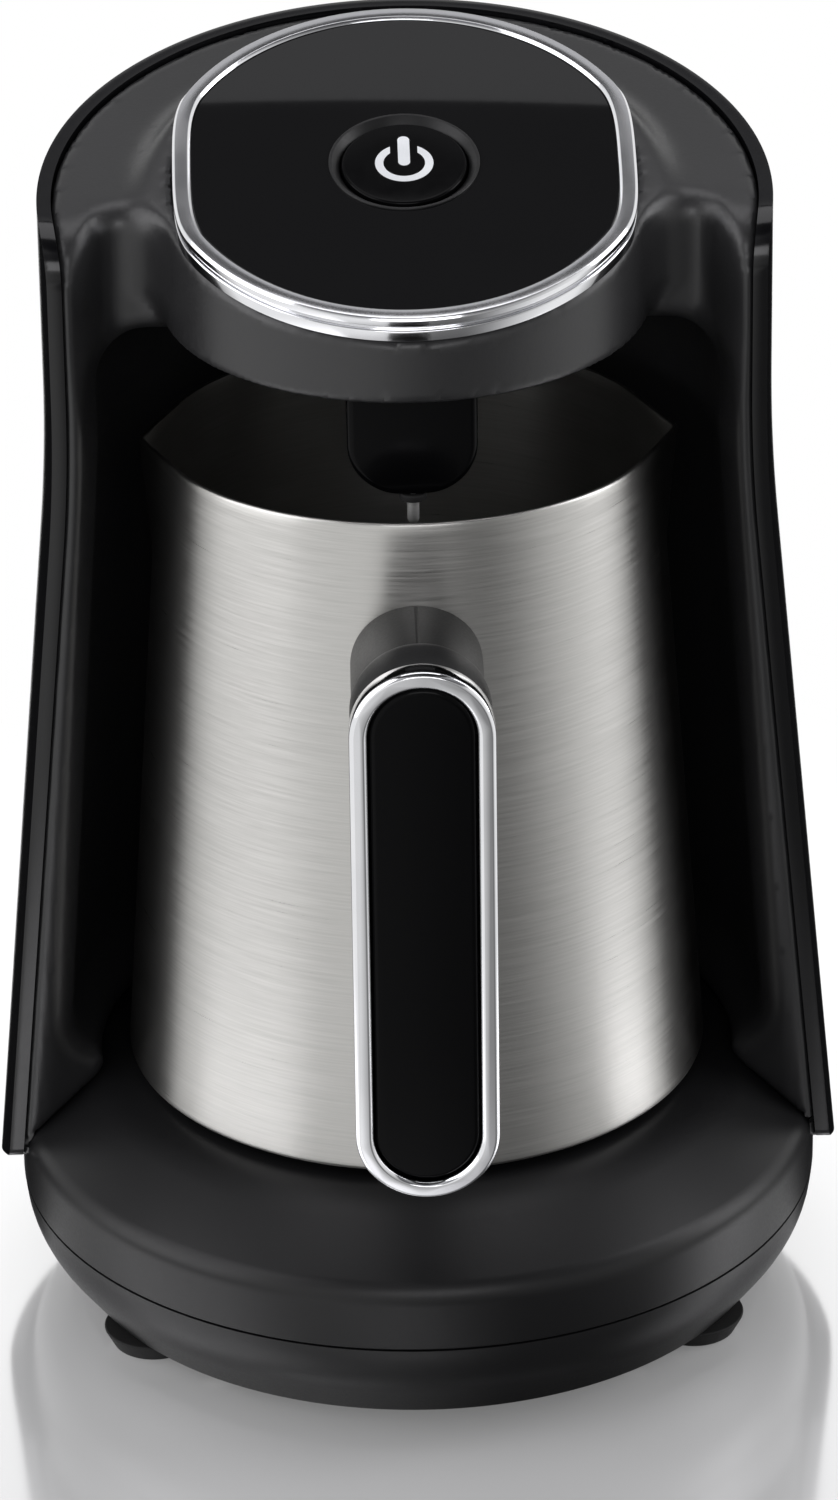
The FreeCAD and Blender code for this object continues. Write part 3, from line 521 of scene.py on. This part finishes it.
def makeRearShell():
    front, backY, middleZ = shell["frontY"], 80.0, 100.0
    seam = shell["seamZ"]
    edge = softLine([(backY, seam + 1, 0), (front + 16, seam + 1, shell["footCorner"]), (front, seam + 8, 2),
                     (front, crownHeight(front) + 0.4, shell["topCorner"]), (backY, crownHeight(backY) + 0.4, 0)])
    lowEdge = [p for p in edge if p[1] < middleZ]
    topEdge = [p for p in edge if p[1] >= middleZ]
    columns, levels = 260, 90
    sheets = []
    for inset in (0.0, shell["wall"]):
        sheet = []
        for i in range(columns + 1):
            u = -1 + 2 * i / columns
            eased = math.copysign(1 - (1 - abs(u)) ** 1.6, u)
            column = []
            for j in range(levels + 1):
                v = 0.5 - 0.5 * math.cos(math.pi * j / levels)
                z = 30 + 170 * v
                # radius, bearing and height depend on each other, so they settle in a few turns
                for _ in range(8):
                    radius = shellRadius(z) - inset
                    widest = math.acos(max(-1, min(1, front / radius)))
                    angle = eased * widest
                    y = radius * math.cos(angle)
                    z = lineHeight(lowEdge, y) * (1 - v) + lineHeight(topEdge, y) * v
                column.append((radius * math.sin(angle) * mm, y * mm + potAxisY, z * mm))
            sheet.append(column)
        sheets.append(sheet)
    loops = [outer + inner[::-1] for outer, inner in zip(*sheets)]
    bm = gridMesh(loops, closeColumns=True)
    for loop in (loops[0], loops[-1]):
        for k in range(len(loop) // 2 - 1):
            bm.faces.new([bm.verts.new(p) for p in (loop[k], loop[k + 1], loop[-k - 2], loop[-k - 1])])
    bmesh.ops.remove_doubles(bm, verts=bm.verts, dist=1e-6)
    bmesh.ops.recalc_face_normals(bm, faces=bm.faces)
    return finish("tapered_back_shell", bm, "pianoAbs", ["rear_shell"], 40, 0.5)


# the matt moulding: wing rims, slanted faces, bay, crown and drum in one skin;
# the "Lean" values are cosines, which turn a height or a reach into a distance from a leaning face
moulding = {"cell": 1.15, "low": (-74.2, -42.1, 26.1), "high": (74.2, 66.3, 222.3), "inset": 2.5, "rimBand": 3.6,
            "faceHalf": 50.5, "faceY": -4.0, "bayLow": 61.5, "bayTop": 52.8, "bayTopZ": 181.5, "bayFloorZ": 43.6,
            "bayFloorDrop": 8.0, "bayCorner": 9.0, "drumRadius": 41.4, "drumY": 2.5, "drumLowZ": 183.5,
            "wall": 2.4, "creaseRound": 1.3, "bayRound": 5.0, "browRound": 4.5, "neckRound": 7.0,
            "drumRound": 1.2, "seamRound": 1.3, "flareRound": 2.0, "floorRound": 10.0, "rimRound": 0.8,
            "browHalf": 58.0, "browFade": 6.0, "shellLean": 0.995, "crownLean": 0.987, "bayLean": 0.998,
            "footNormal": (0.39, 0.92)}


def roundMax(a, b, radius):
    # the meeting of two bounds, with its edge rounded
    past = np.hypot(np.maximum(a + radius, 0), np.maximum(b + radius, 0))
    return np.minimum(np.maximum(a, b), -radius) + past


def roundMin(a, b, radius):
    return -roundMax(-a, -b, radius)


def mouldingField(x, y, z):
    # signed distance in millimetres about the pot's axis, negative inside
    m, side = moulding, np.abs(x)
    reach = np.hypot(x, y)
    slope = (shell["topRadius"] - shell["lowRadius"]) / (shell["taperEndZ"] - shell["seamZ"])
    ease = np.clip((z - shell["taperEndZ"] + shell["ease"]) / (2 * shell["ease"]), 0, 1)
    shellWall = np.minimum(z, shell["taperEndZ"] - shell["ease"]) - shell["seamZ"]
    shellWall = shell["lowRadius"] + slope * (shellWall + 2 * shell["ease"] * (ease - ease ** 2 / 2))
    outer = (reach - shellWall + m["inset"]) * m["shellLean"]
    frontY = shell["frontY"] + 0.1
    crown = (z - crownHeight(y)) * m["crownLean"]
    outer = roundMax(outer, roundMax(frontY - y, crown, shell["topCorner"]), m["seamRound"])
    baseZ = np.interp(reach, baseLine[0], baseLine[1])
    foot = -((y - frontY) * m["footNormal"][0] + (z - shell["seamZ"] - 8) * m["footNormal"][1])
    outer = np.maximum(outer, np.maximum((baseZ + 0.05 - z) * 0.8, foot))
    # hollow in front: slanted faces from the rims back to the shoulder
    crease = shellWall - m["inset"] - m["rimBand"]
    run = np.stack([m["faceHalf"] - crease, np.full_like(crease, m["faceY"] - shell["frontY"])])
    length = np.hypot(run[0], run[1])
    slant = ((side - crease) * run[1] - (y - shell["frontY"]) * run[0]) / length
    flare = roundMax(y - m["faceY"], slant, m["flareRound"])
    # the bay
    bayWall = np.interp(z, [m["bayFloorZ"], shell["taperEndZ"]], [m["bayLow"], m["bayTop"]])
    bay = roundMax((reach - bayWall) * m["bayLean"], z - m["bayTopZ"], m["bayCorner"])
    bay = roundMax(bay, m["bayFloorZ"] - z, m["floorRound"])
    bay = np.maximum(bay, m["bayFloorZ"] - m["bayFloorDrop"] - z)
    upper = np.clip((z - m["bayTopZ"] + 10) / 12, 0, 1)
    brow = upper * np.clip((m["browHalf"] - side) / m["browFade"], 0, 1)
    edge = m["creaseRound"] + (m["browRound"] - m["creaseRound"]) * brow
    body = roundMax(outer, -flare, edge)
    body = roundMax(body, -bay, m["bayRound"])
    # the drum, run into the crown by a hollow round
    drumReach = np.hypot(x, y - m["drumY"])
    tilt = math.radians(panel["tilt"])
    seat = (z - panel["height"]) * math.cos(tilt) - y * math.sin(tilt) + panel["ringDepth"]
    drum = roundMax(drumReach - m["drumRadius"], m["drumLowZ"] - z, m["drumRound"])
    neck = m["neckRound"] * np.clip((z - m["drumLowZ"] + 1) / 8, 0.05, 1)
    body = roundMin(body, drum, neck)
    hollow = np.maximum(drumReach - m["drumRadius"] + m["wall"], m["drumLowZ"] + m["wall"] - z)
    return roundMax(roundMax(body, seat, m["seamRound"]), -hollow, m["rimRound"])


def fieldMesh(field, low, high, cell):
    # a quad skin over the zero level of a field: one point for each crossed cell, drawn onto the surface
    counts = [int(math.ceil((b - a) / cell)) + 1 for a, b in zip(low, high)]
    axes = [low[i] + cell * np.arange(counts[i]) for i in range(3)]
    values = field(*np.meshgrid(*axes, indexing="ij"))
    inside = values < 0
    total = np.zeros([n - 1 for n in counts], int)
    for shift in np.ndindex(2, 2, 2):
        total += inside[tuple(slice(s, n - 1 + s) for s, n in zip(shift, counts))]
    crossed = (total > 0) & (total < 8)
    index = np.full(crossed.shape, -1)
    index[crossed] = np.arange(crossed.sum())
    points = np.stack([axes[i][where] for i, where in enumerate(np.nonzero(crossed))], 1) + cell / 2
    step = 0.05
    for _ in range(6):
        value = field(*points.T)
        rise = np.stack([(field(*(points + offset).T) - field(*(points - offset).T)) / (2 * step)
                         for offset in step * np.eye(3)], 1)
        move = -value[:, None] * rise / np.maximum((rise ** 2).sum(1), 0.05)[:, None]
        reach = np.linalg.norm(move, axis=1)[:, None]
        points = points + move * np.minimum(1, 0.35 * cell / np.maximum(reach, 1e-9))
    quads = []
    for axis in range(3):
        near = [slice(1, n - 1) for n in counts]
        near[axis] = slice(0, counts[axis] - 1)
        far = list(near)
        far[axis] = slice(1, counts[axis])
        start, end = inside[tuple(near)], inside[tuple(far)]
        where = np.stack(np.nonzero(start != end), 1)
        leads = start[tuple(where.T)]
        for i in range(3):
            if i != axis:
                where[:, i] += 1
        b, c = [i for i in range(3) if i != axis]
        corners = []
        for db, dc in ((-1, -1), (0, -1), (0, 0), (-1, 0)):
            at = where.copy()
            at[:, b] += db
            at[:, c] += dc
            corners.append(index[tuple(at.T)])
        quad = np.stack(corners, 1)
        flip = leads if axis != 1 else ~leads
        quad[~flip] = quad[~flip][:, ::-1]
        quads.append(quad)
    mesh = bpy.data.meshes.new("field")
    mesh.from_pydata((points * mm + np.array([0, potAxisY, 0])).tolist(), [], np.concatenate(quads).tolist())
    bm = bmesh.new()
    bm.from_mesh(mesh)
    bpy.data.meshes.remove(mesh)
    return bm


def makeMoulding():
    bm = fieldMesh(mouldingField, moulding["low"], moulding["high"], moulding["cell"])
    return finish("wrap_round_moulding", bm, "grainAbs", ["inner_fascia", "head_housing"], 60)


# the base
base = {"radius": 70.4, "edgeZ": 32.0, "deckRadius": 53.0, "deckZ": 43.3, "seamZ": 20.7, "wall": 2.4,
        "plateHole": 43.0}
# the deck's line from the middle out, as radii and heights
baseLine = list(zip(*sorted((r, z) for r, z in softLine([
    (0, base["deckZ"], 0), (base["deckRadius"], base["deckZ"], 24), (base["radius"], base["edgeZ"], 5),
    (base["radius"] + 0.01, base["seamZ"], 0)]))))


def makeBase():
    b = base
    profile = softLine([
        (b["plateHole"], b["deckZ"] - b["wall"], 0), (b["plateHole"], b["deckZ"], 0.4),
        (b["deckRadius"], b["deckZ"], 24), (b["radius"], b["edgeZ"], 5), (b["radius"], b["seamZ"] + 0.25, 0.35),
        (b["radius"] - b["wall"], b["seamZ"] + 0.25, 0), (b["radius"] - b["wall"], b["edgeZ"] - 1, 5),
        (b["deckRadius"] - b["wall"], b["deckZ"] - b["wall"], 20),
    ], closed=True)
    return finish("base_top_moulding", latheMesh(profile, 240), "satinAbs", ["base_housing"], 35)


# the pot
pot = {"bottomRadius": 50.8, "rimRadius": 42.5, "height": 119.0, "restZ": 44.55, "wall": 0.9, "floor": 3.0,
       "rimDrop": 5.0, "spoutReach": 46.2, "spoutTip": 2.5, "spoutHeight": 24.0, "corner": 0.9}


def potRadius(height):
    return pot["bottomRadius"] + (pot["rimRadius"] - pot["bottomRadius"]) * height / pot["height"]


def potReach(angle, height, inset):
    # the wall's distance from the axis: round, drawn out to a small tip on each side near the rim
    radius = potRadius(height) - inset
    neck = pot["height"] - pot["spoutHeight"]
    if height <= neck:
        return radius
    share = (height - neck) / pot["spoutHeight"]
    plain = potRadius(neck)
    reach = plain + (pot["spoutReach"] - plain) * share ** 1.15 - inset
    tip = pot["spoutTip"]
    if reach <= radius + 0.02:
        return radius
    side = math.acos((radius - tip) / (reach - tip))
    bearing = abs(math.atan2(math.sin(angle), abs(math.cos(angle))))
    tipEdge = math.atan2(tip * math.sin(side), reach - tip + tip * math.cos(side))
    if bearing >= side:
        return radius
    if bearing > tipEdge:
        return radius / math.cos(side - bearing)
    centre = reach - tip
    return centre * math.cos(bearing) + math.sqrt(max(0.0, tip ** 2 - (centre * math.sin(bearing)) ** 2))


def makePot():
    # a point each degree, and half-way points at the two tips
    steps = 360
    angles = [2 * math.pi * j / steps for j in range(steps)]
    for middle in (0.0, math.pi):
        angles += [(middle + math.radians(d)) % (2 * math.pi) for d in (-2.5, -1.5, -0.5, 0.5, 1.5, 2.5)]
    angles.sort()
    slope = pot["rimDrop"] / (2 * pot["rimRadius"])

    def rimHeight(y):
        return pot["height"] - pot["rimDrop"] / 2 - slope * y

    def ring(heightShare, inset, lift=0.0):
        row = []
        for angle in angles:
            height = pot["height"]
            for _ in range(4):
                reach = potReach(angle, height, inset)
                height = rimHeight(reach * math.sin(angle)) * heightShare + lift
            reach = potReach(angle, height, inset)
            row.append((reach * math.cos(angle) * mm, reach * math.sin(angle) * mm + potAxisY,
                        (pot["restZ"] + height) * mm))
        return row

    def flatRing(radius, height):
        return [(radius * math.cos(a) * mm, radius * math.sin(a) * mm + potAxisY, (pot["restZ"] + height) * mm)
                for a in angles]

    # from the middle of the underside out, up the wall, over the rolled rim and down to the middle of the floor
    rows = [flatRing(0.0, 0.0), flatRing(20.0, 0.0), flatRing(48.0, 0.0)]
    corner, innerCorner = pot["corner"], 3.0
    quarter = [math.pi / 2 * k / 6 for k in range(7)]
    rows += [flatRing(potRadius(corner) - corner + corner * math.sin(a), corner - corner * math.cos(a))
             for a in quarter]
    levels = 70
    startShare, endShare = 1.6 / pot["height"], 0.996
    rows += [ring(startShare + (endShare - startShare) * (k / (levels - 1)), 0.0) for k in range(levels)]
    rows += [ring(1.0, inset, lift) for inset, lift in ((0.12, -0.10), (0.30, 0.0), (0.60, 0.0), (0.80, -0.10))]
    startShare, endShare = 0.995, 0.06
    rows += [ring(startShare + (endShare - startShare) * k / (levels - 1), pot["wall"]) for k in range(levels)]
    inner = potRadius(2 * innerCorner) - pot["wall"] - innerCorner
    rows += [flatRing(inner + innerCorner * math.cos(a), pot["floor"] + innerCorner - innerCorner * math.sin(a))
             for a in quarter]
    rows += [flatRing(20.0, pot["floor"]), flatRing(0.0, pot["floor"])]
    bm = gridMesh(rows, closeColumns=True)
    return finish("brushed_pot", bm, "potSteel", ["pot_body"], 50)


# the head's panel, ring and button
panel = {"height": 210.5, "tilt": 16.5, "ringRadius": 41.4, "ringFlat": 38.9, "ringWidth": 3.0, "ringTop": 0.58,
         "ringDepth": 4.2, "ringBevel": 0.45, "ringLedge": 2.0, "bandHeight": 2.2, "groove": 0.9,
         "grooveDepth": 0.7, "thickness": 2.2, "skirt": 0.6, "bezelRadius": 12.7, "bezelRise": 0.35,
         "bezelLow": -5.3, "buttonRadius": 10.6, "buttonTop": -0.1, "gap": 0.3, "ease": 2.8}
# heights in the panel's frame
button = {"flangeRadius": 11.9, "flangeTop": -5.4, "flangeLow": -6.6, "wall": 1.2, "skin": 1.4, "stemRadius": 2.0,
          "stemLow": -8.0}


def ringOutline(inset):
    # round, its two sides cut flat, the corners between them eased
    radius, flat = panel["ringRadius"] - inset, panel["ringFlat"] - inset
    points = []
    for k in range(320):
        angle = 2 * math.pi * k / 320
        side = flat / max(abs(math.cos(angle)), 1e-3)
        mix = max(0.0, min(1.0, 0.5 + 0.5 * (radius - side) / panel["ease"]))
        reach = radius + (side - radius) * mix - panel["ease"] * mix * (1 - mix)
        points.append((reach * math.cos(angle), reach * math.sin(angle)))
    return points


def panelPiece(name, bm, finishName, node, smoothAngle):
    bmesh.ops.transform(bm, matrix=panelMatrix(), verts=bm.verts)
    return finish(name, bm, finishName, [node], smoothAngle)


def stackedRings(outlines):
    # (points, height) outlines joined into one closed ring
    rows = [[(x * mm, y * mm, z * mm) for x, y in points] for points, z in outlines]
    return gridMesh(rows, closeRows=True, closeColumns=True)


def makeTrimRing():
    p = panel
    top, low, width, bevel = p["ringTop"], -p["ringDepth"], p["ringWidth"], p["ringBevel"]
    deep = p["grooveDepth"]
    grooveLow = low + p["bandHeight"]
    grooveTop = grooveLow + p["groove"]
    line = softLine([
        (0.0, low, 0.2), (0.0, grooveLow, 0.35), (deep, grooveLow, 0.1), (deep, grooveTop, 0.1),
        (0.0, grooveTop, 0.3), (0.0, top - bevel, 0.15), (bevel, top, 0.15), (width - bevel, top, 0.15),
        (width, top - bevel, 0.15), (width, -p["thickness"], 0.0), (width + p["ringLedge"], -p["thickness"], 0.0),
        (width + p["ringLedge"], low, 0.0)], closed=True)
    bm = stackedRings([(ringOutline(inset), z) for inset, z in line])
    return panelPiece("chrome_trim_ring", bm, "chrome", "trim_ring", 24)


def makePanel():
    # flat gloss disc with the button's opening
    p = panel
    inset, edge, steps = p["ringWidth"] + 0.1, 0.12, 320
    hole = p["bezelRadius"] - p["skirt"]
    rim = ringOutline(inset)
    inner = [(hole * math.cos(2 * math.pi * k / steps), hole * math.sin(2 * math.pi * k / steps))
             for k in range(steps)]
    bm = stackedRings([(rim, -p["thickness"]), (rim, -edge), (ringOutline(inset + edge), 0.0), (inner, 0.0),
                       (inner, -p["thickness"])])
    return panelPiece("tinted_panel", bm, "panelAbs", "control_panel", 30)


def makeBezel():
    p = panel
    inner, outer, skirt = p["buttonRadius"] + p["gap"], p["bezelRadius"], p["bezelRadius"] - p["skirt"]
    profile = softLine([
        (inner, p["bezelLow"], 0), (skirt, p["bezelLow"], 0), (skirt, 0.0, 0), (outer, 0.0, 0),
        (outer, p["bezelRise"], 0.2), (outer - 0.5, p["bezelRise"], 0.2), (inner, -0.9, 0.2)], closed=True)
    return panelPiece("button_bezel", latheMesh(profile, 120, (0, 0)), "satinAbs", "bezel_ring", 30)


def makeButton():
    b = button
    radius, top = panel["buttonRadius"], panel["buttonTop"]
    under = top - b["skin"]
    profile = softLine([
        (0.0, top, 0), (radius * 0.6, top, 0), (radius, top - 0.02, 0.6), (radius, b["flangeTop"], 0),
        (b["flangeRadius"], b["flangeTop"], 0.2), (b["flangeRadius"], b["flangeLow"], 0.2),
        (radius - b["wall"], b["flangeLow"], 0), (radius - b["wall"], under, 0), (b["stemRadius"], under, 0),
        (b["stemRadius"], b["stemLow"], 0), (0.0, b["stemLow"], 0)])
    return panelPiece("round_push_button", latheMesh(profile, 120, (0, 0)), "insertAbs", "power_button", 30)


# small repeated hardware, one tree for each
def spreadTree(name, finishName):
    # sets one piece at the four corners of a rectangle
    tree = bpy.data.node_groups.new(name, "GeometryNodeTree")
    tree.interface.new_socket("Geometry", in_out="INPUT", socket_type="NodeSocketGeometry")
    for label in ("Spread X", "Spread Y", "Centre Y", "Height"):
        tree.interface.new_socket(label, in_out="INPUT", socket_type="NodeSocketFloat")
    tree.interface.new_socket("Geometry", in_out="OUTPUT", socket_type="NodeSocketGeometry")
    given = addNode(tree, "NodeGroupInput")
    corners = addNode(tree, "GeometryNodeMeshGrid", {"Vertices X": 2, "Vertices Y": 2},
                      {"Size X": given.outputs["Spread X"], "Size Y": given.outputs["Spread Y"]})
    lift = addNode(tree, "ShaderNodeCombineXYZ",
                   links={"Y": given.outputs["Centre Y"], "Z": given.outputs["Height"]})
    placed = addNode(tree, "GeometryNodeTransform", links={"Geometry": corners.outputs[0],
                                                           "Translation": lift.outputs[0]})
    spread = addNode(tree, "GeometryNodeInstanceOnPoints", links={"Points": placed.outputs[0],
                                                                  "Instance": given.outputs["Geometry"]})
    real = addNode(tree, "GeometryNodeRealizeInstances", links={"Geometry": spread.outputs[0]})
    skin = addNode(tree, "GeometryNodeSetMaterial", {"Material": finishes[finishName]},
                   {"Geometry": real.outputs[0]})
    addNode(tree, "NodeGroupOutput", links={"Geometry": skin.outputs[0]})
    return tree


def spreadPiece(name, bm, finishName, nodes, spreadX, spreadY, height):
    # the four sit about the pot's axis
    holder = meshObject(name + "Single", bm)
    tree = spreadTree(name + "Spread", finishName)
    step = holder.modifiers.new("spread", "NODES")
    step.node_group = tree
    values = {"Spread X": spreadX * mm, "Spread Y": spreadY * mm, "Centre Y": potAxisY, "Height": height * mm}
    for item in tree.interface.items_tree:
        if item.in_out == "INPUT" and item.name in values:
            step[item.identifier] = values[item.name]
    bpy.context.view_layer.update()
    result = bpy.data.meshes.new_from_object(holder.evaluated_get(bpy.context.evaluated_depsgraph_get()))
    bpy.data.objects.remove(holder)
    spread = bmesh.new()
    spread.from_mesh(result)
    return finish(name, spread, finishName, nodes, 30)


foot = {"lowRadius": 7.2, "topRadius": 9.0, "height": 3.5, "sink": 0.02, "stemRadius": 3.0, "barbRadius": 3.7,
        "tipRadius": 2.4, "stemLength": 2.4, "barbLength": 1.4, "spreadX": 95.0, "spreadY": 60.0}
screws = {"headRadius": 3.2, "headHeight": 1.8, "shankRadius": 1.4, "length": 26.0, "height": 4.7,
          "spreadX": 73.0, "spreadY": 75.0}


def makeFeet():
    f = foot
    top = f["height"] - f["sink"]
    barb = f["height"] + f["stemLength"]
    tip = barb + f["barbLength"]
    profile = softLine([
        (0.0, 0.0, 0), (f["lowRadius"], 0.0, 0.7), (f["topRadius"], top, 0.3), (f["stemRadius"], top, 0),
        (f["stemRadius"], barb, 0), (f["barbRadius"], barb, 0), (f["tipRadius"], tip, 0), (0.0, tip, 0)])
    return spreadPiece("rubber_feet", latheMesh(profile, 64, (0, 0)), "rubber",
                       ["foot_front_left", "foot_front_right", "foot_rear_left", "foot_rear_right"],
                       f["spreadX"], f["spreadY"], 0.0)


def makeBaseScrews():
    # pan head down, shank up
    s = screws
    profile = softLine([
        (0.0, 0.0, 0), (s["headRadius"], 0.0, 0.9), (s["headRadius"], s["headHeight"], 0.1),
        (s["shankRadius"], s["headHeight"], 0), (s["shankRadius"], s["length"], 0.6), (0.0, s["length"], 0)])
    return spreadPiece("base_screw_set", latheMesh(profile, 32, (0, 0)), "plainSteel", ["base_screws"],
                       s["spreadX"], s["spreadY"], s["height"])


# pieces whose CAD shape is right, welded and with their edges broken
softPieces = {
    "base_cover": ("satinAbs", 0.3), "plate_seal": ("rubber", 0.15), "heater_plate": ("plateCoat", 0.2),
    "power_icon": ("lit", None), "sensor_housing": ("insertAbs", 0.3), "sensor_collar": ("rubber", 0.2),
    "sensor_pin": ("pinSteel", None), "cord_inlet": ("rubber", 0.4), "handle_mount": ("mountAbs", 0.5),
    "handle_grip": ("gripAbs", 0.4), "handle_frame": ("chrome", 0.2), "handle_insert": ("insertAbs", 0.2),
}


def makeSoftPieces():
    for node, (finishName, bevel) in softPieces.items():
        softCopy(node, finishName, bevel)
        print("soft copy:", node)


def dressHiddenNodes(done):
    # what is inside keeps its CAD shape and gets its own finish
    for node, piece in frame["nodes"].items():
        if node in done:
            continue
        piece.data.materials.clear()
        piece.data.materials.append(finishes[finishOfSlot[slotOfNode[node]]])


makeCamera()
makeLamps()
makeWorld()
makeFloor()
print("camera, lamps and floor done")
made = {"rear_shell": makeRearShell(), "base_housing": makeBase(), "pot_body": makePot()}
print("shell, base and pot done")
made["inner_fascia"] = made["head_housing"] = makeMoulding()
print("moulding done:", len(made["inner_fascia"].data.polygons), "faces")
made.update({"trim_ring": makeTrimRing(), "bezel_ring": makeBezel(), "power_button": makeButton(),
             "control_panel": makePanel()})
feet = makeFeet()
made.update({n: feet for n in frame["nodes"] if n.startswith("foot_")})
made["base_screws"] = makeBaseScrews()
print("panel trim and hardware done")
makeSoftPieces()
made.update({n: None for n in softPieces})
dressHiddenNodes(made)
print("finishes done")

bpy.context.scene.view_settings.view_transform = "Standard"
